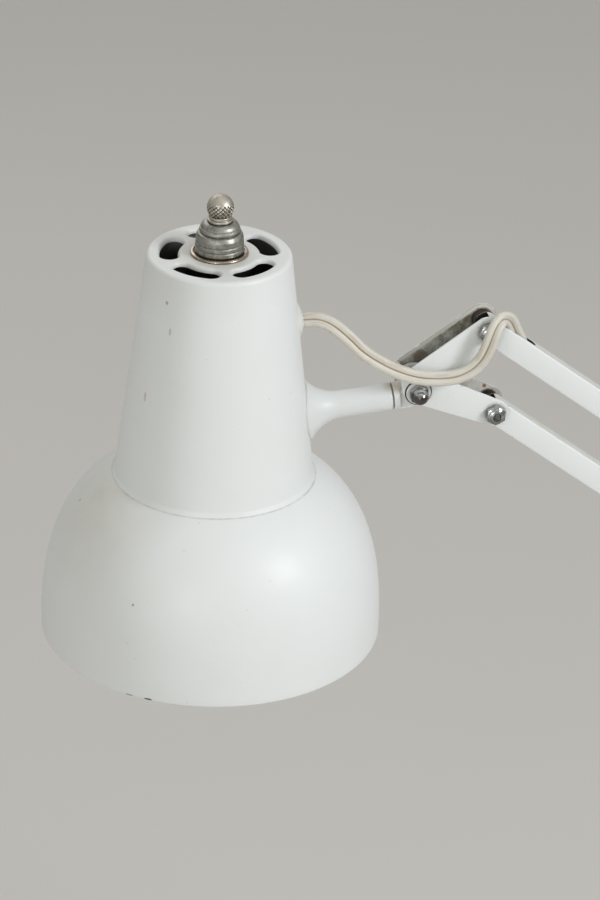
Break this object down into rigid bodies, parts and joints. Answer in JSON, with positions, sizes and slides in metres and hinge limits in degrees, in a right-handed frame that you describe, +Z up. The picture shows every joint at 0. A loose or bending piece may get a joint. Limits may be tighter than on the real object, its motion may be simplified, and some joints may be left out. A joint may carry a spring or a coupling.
{
  "type": "task lamp",
  "caption": "Spring balanced task lamp with a domed shade, vented tapered lamp housing, parallel bar arms and a weighted round foot.",
  "frame": {"origin": "centre of the foot's underside, on the swivel axis", "axes": "+Z up along the swivel axis, -X towards the lamp head in the arm plane, +Y away from the viewer towards the cord gland"},
  "size_m": [0.604, 0.2877, 0.8758],
  "materials": {
    "white_paint": "semi-gloss",
    "foot_paint": "semi-gloss paint",
    "felt": "matte",
    "brass": "satin",
    "zinc": "satin",
    "chrome": "polished",
    "spring_steel": "bright",
    "white_plastic": "gloss",
    "bakelite": "satin",
    "glass": "frosted",
    "flex": "satin"
  },
  "bodies": {
    "foot": {"foot_casting": "foot_paint", "foot_felt": "felt", "swivel_bush": "brass", "cord_gland": "white_plastic", "cord_lead": "flex", "cord_coil": "flex", "cord_tie": "white_plastic", "plug_body": "white_plastic", "plug_pins": "chrome"},
    "turret": {"swivel_post": "zinc", "post_clip": "zinc", "turret_bracket": "white_paint", "turret_bolts": "chrome", "turret_nuts": "chrome", "turret_washers": "zinc", "turret_spring_pins": "chrome", "cord_base_loop": "flex"},
    "lower_arm": {"lower_bar": "white_paint"},
    "lower_stay": {"lower_stay": "white_paint", "lower_spring_pin": "chrome"},
    "lower_spring_rods": {"lower_spring_rods": "spring_steel"},
    "lower_spring_coils": {"lower_spring_coils": "spring_steel", "lower_spring_anchors": "spring_steel"},
    "elbow": {"elbow_front_plate": "white_paint", "elbow_rear_plate": "white_paint", "elbow_bolts": "chrome", "elbow_nuts": "chrome", "elbow_washers": "zinc", "elbow_spring_pins": "chrome", "cord_elbow_loop": "flex"},
    "upper_arm": {"upper_bar": "white_paint", "upper_spring_pin": "chrome"},
    "upper_stay": {"upper_stay": "white_paint"},
    "upper_spring_rods": {"upper_spring_rods": "spring_steel"},
    "upper_spring_coils": {"upper_spring_coils": "spring_steel", "upper_spring_anchors": "spring_steel"},
    "head_bracket": {"head_bracket": "white_paint", "tilt_bolt": "chrome", "tilt_nut": "chrome", "tilt_washers": "zinc", "head_pivot_bolts": "chrome", "head_pivot_nuts": "chrome", "head_pivot_spacers": "zinc", "cord_head_loop": "flex"},
    "knuckle": {"knuckle": "white_paint"},
    "head": {"shade": "white_paint", "lamp_housing": "white_paint", "neck": "white_paint", "neck_screws": "zinc", "cord_bush": "white_plastic", "cap_washer": "brass", "cap_nut": "zinc", "switch_bushing": "zinc", "switch_body": "bakelite", "lampholder": "bakelite", "lampholder_shell": "brass", "bulb_cap": "zinc", "bulb_glass": "glass"},
    "switch_knob": {"switch_knob": "chrome"}
  },
  "joints": [
    {"name": "swivel", "type": "hinge", "parent": "foot", "child": "turret", "pos_m": [0, 0, 0.046], "axis": [0, 0, 1], "range_deg": [-170, 170]},
    {"name": "lower_arm_tilt", "type": "hinge", "parent": "turret", "child": "lower_arm", "pos_m": [0.022, 0, 0.092], "axis": [0, 1, 0], "range_deg": [-40, 35], "deforming": ["cord_base_loop", "cord_elbow_loop"]},
    {"name": "lower_stay_tilt", "type": "hinge", "parent": "turret", "child": "lower_stay", "pos_m": [-0.022, 0, 0.092], "axis": [0, 1, 0], "range_deg": [-40.5, 35.5]},
    {"name": "elbow_level", "type": "hinge", "parent": "lower_arm", "child": "elbow", "pos_m": [0.1995, 0, 0.47265], "axis": [0, 1, 0], "range_deg": [-35.5, 40.5]},
    {"name": "lower_spring_pin_turn", "type": "hinge", "parent": "turret", "child": "lower_spring_rods", "pos_m": [-0.022, 0, 0.114], "axis": [0, 1, 0], "range_deg": [-44.84, 39.31]},
    {"name": "lower_spring_hook_turn", "type": "hinge", "parent": "lower_stay", "child": "lower_spring_coils", "pos_m": [0.06252, 0, 0.27326], "axis": [0, 1, 0], "range_deg": [-4.84, 4.31]},
    {"name": "upper_arm_tilt", "type": "hinge", "parent": "elbow", "child": "upper_arm", "pos_m": [0.1742, 0, 0.54915], "axis": [0, 1, 0], "range_deg": [-45, 20], "deforming": ["cord_elbow_loop", "cord_head_loop"]},
    {"name": "upper_stay_tilt", "type": "hinge", "parent": "elbow", "child": "upper_stay", "pos_m": [0.18, 0, 0.50505], "axis": [0, 1, 0], "range_deg": [-45.5, 20.5]},
    {"name": "head_bracket_level", "type": "hinge", "parent": "upper_arm", "child": "head_bracket", "pos_m": [-0.16211, 0, 0.80074], "axis": [0, 1, 0], "range_deg": [-20.5, 45.5]},
    {"name": "upper_spring_pin_turn", "type": "hinge", "parent": "elbow", "child": "upper_spring_rods", "pos_m": [0.1742, 0, 0.57115], "axis": [0, 1, 0], "range_deg": [-47.09, 21.26]},
    {"name": "upper_spring_hook_turn", "type": "hinge", "parent": "upper_arm", "child": "upper_spring_coils", "pos_m": [0.03007, 0, 0.65697], "axis": [0, 1, 0], "range_deg": [-2.09, 1.26]},
    {"name": "head_tilt", "type": "hinge", "parent": "head_bracket", "child": "knuckle", "pos_m": [-0.19476, 0, 0.77024], "axis": [0, 1, 0], "range_deg": [-45, 22], "deforming": ["cord_head_loop"]},
    {"name": "head_roll", "type": "hinge", "parent": "knuckle", "child": "head", "pos_m": [-0.19448, 0, 0.76765], "axis": [-0.9942, 0, -0.108], "range_deg": [-80, 80], "deforming": ["cord_head_loop"]},
    {"name": "switch_turn", "type": "hinge", "parent": "head", "child": "switch_knob", "pos_m": [-0.29201, 0, 0.84624], "axis": [0, 0, 1], "continuous": true}
  ],
  "couplings": [
    {"joint": "lower_stay_tilt", "follows": "lower_arm_tilt", "ratio": 1},
    {"joint": "elbow_level", "follows": "lower_arm_tilt", "ratio": -1},
    {"joint": "lower_spring_pin_turn", "follows": "lower_arm_tilt", "ratio": 1.1059},
    {"joint": "lower_spring_hook_turn", "follows": "lower_arm_tilt", "ratio": 0.1059},
    {"joint": "upper_stay_tilt", "follows": "upper_arm_tilt", "ratio": 1},
    {"joint": "head_bracket_level", "follows": "upper_arm_tilt", "ratio": -1},
    {"joint": "upper_spring_pin_turn", "follows": "upper_arm_tilt", "ratio": 1.0331},
    {"joint": "upper_spring_hook_turn", "follows": "upper_arm_tilt", "ratio": 0.0331}
  ]
}
